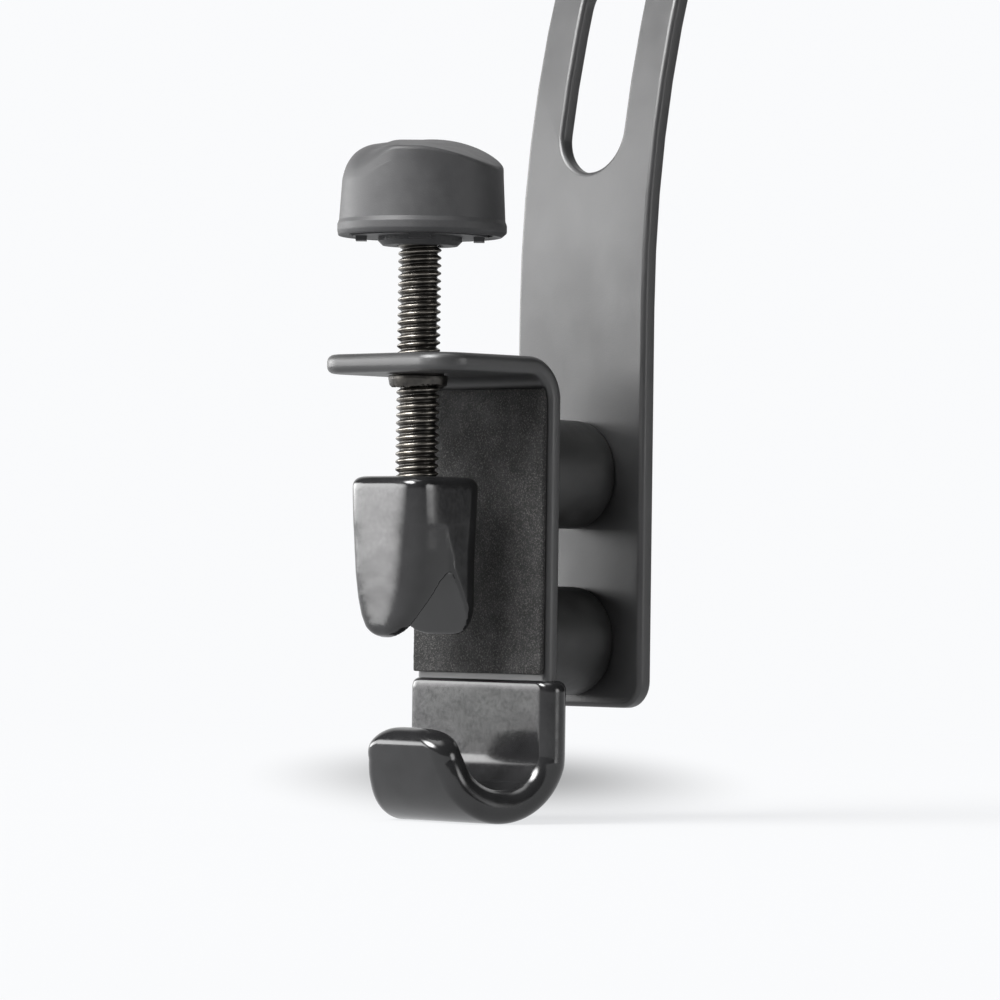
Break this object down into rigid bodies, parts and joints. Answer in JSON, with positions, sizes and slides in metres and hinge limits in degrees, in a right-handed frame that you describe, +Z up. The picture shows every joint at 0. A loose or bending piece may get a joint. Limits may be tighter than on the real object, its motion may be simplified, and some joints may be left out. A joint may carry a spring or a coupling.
{
  "type": "headphone hook",
  "caption": "Clamp-on headphone hook: a screw clamp with a coated V saddle and J hook grips a tube, and a tall slotted plate behind it curves back into a cradle for the headband.",
  "frame": {"origin": "centre of a 25 mm tube held in the jaw, between the V saddle and the J hook", "axes": "+Z up along the spindle towards the knob, the jaw's mouth opens towards -Y, +X runs along the clamped tube and across the strip's width"},
  "size_m": [0.0372, 0.1301, 0.19],
  "materials": {
    "powder_coat": "satin black powder coat",
    "pvc_dip": "gloss black dipped PVC",
    "foam": "matt black closed-cell foam",
    "black_zinc": "black zinc plating",
    "rubber": "satin black moulded rubber",
    "knob_plastic": "fine matt dark grey moulding",
    "bare_steel": "plain zinc-plated steel"
  },
  "bodies": {
    "bracket": {"clamp_bracket": "powder_coat", "thread_bush": "black_zinc", "jaw_coating": "pvc_dip", "foam_pad": "foam", "hook_plate": "powder_coat", "spacer_upper": "rubber", "spacer_sleeve_upper": "bare_steel", "screw_upper": "black_zinc", "washer_upper": "black_zinc", "cap_nut_upper": "black_zinc", "spacer_lower": "rubber", "spacer_sleeve_lower": "bare_steel", "screw_lower": "black_zinc", "washer_lower": "black_zinc", "cap_nut_lower": "black_zinc"},
    "carriage": {"thrust_washer": "bare_steel"},
    "screw": {"spindle": "black_zinc", "retaining_ring": "bare_steel", "knob_shell": "knob_plastic", "knob_base": "knob_plastic", "knob_insert": "bare_steel"},
    "saddle": {"saddle_core": "bare_steel", "saddle_coating": "pvc_dip"}
  },
  "joints": [
    {"name": "carriage_slide", "type": "slide", "parent": "bracket", "child": "carriage", "axis": [0, 0, 1], "range_m": [-0.01411, 0.01411]},
    {"name": "screw_turn", "type": "hinge", "parent": "carriage", "child": "screw", "pos_m": [0, -0.0035, 0.0566], "axis": [0, 0, 1], "range_deg": [-3600, 3600]},
    {"name": "saddle_swivel", "type": "hinge", "parent": "carriage", "child": "saddle", "pos_m": [0, -0.0035, 0.0316], "axis": [0, 0, 1], "continuous": true}
  ],
  "couplings": [
    {"joint": "screw_turn", "follows": "carriage_slide", "rad_per_m": 4452.7}
  ]
}
